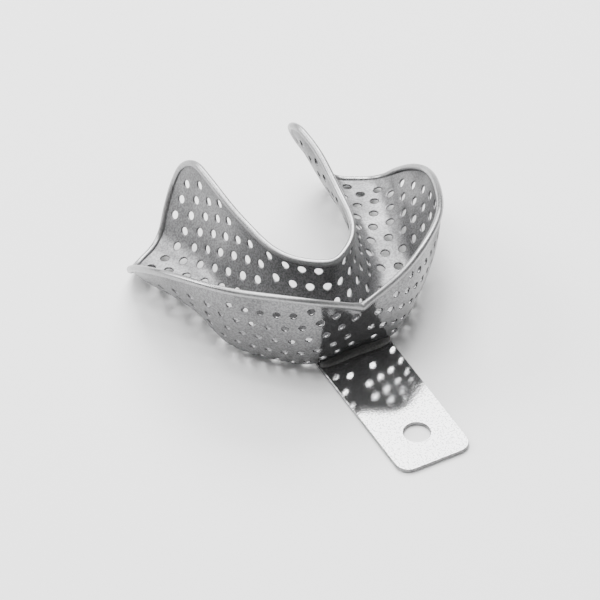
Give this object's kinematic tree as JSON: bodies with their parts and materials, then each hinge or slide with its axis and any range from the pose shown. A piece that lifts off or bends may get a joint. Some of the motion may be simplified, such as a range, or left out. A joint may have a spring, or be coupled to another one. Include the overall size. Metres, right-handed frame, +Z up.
{
  "type": "impression tray",
  "caption": "U-shaped lower dental impression tray of polished perforated sheet metal with a wire-bound rim and a flat handle with a hang hole",
  "frame": {"origin": "on the table, below the middle of the object's box; the table is the underside of the handle", "axes": "+X to the side, +Y from the handle towards the back of the mouth, +Z up out of the trough"},
  "size_m": [0.072, 0.0951, 0.0258],
  "materials": {
    "sheet": "polished, perforated",
    "wire": "polished",
    "strip": "fine polished",
    "solder": "polished silver solder"
  },
  "bodies": {
    "root": {"tray_shell": "sheet", "rim_wire": "wire", "handle": "strip", "handle_solder": "solder"}
  },
  "joints": []
}
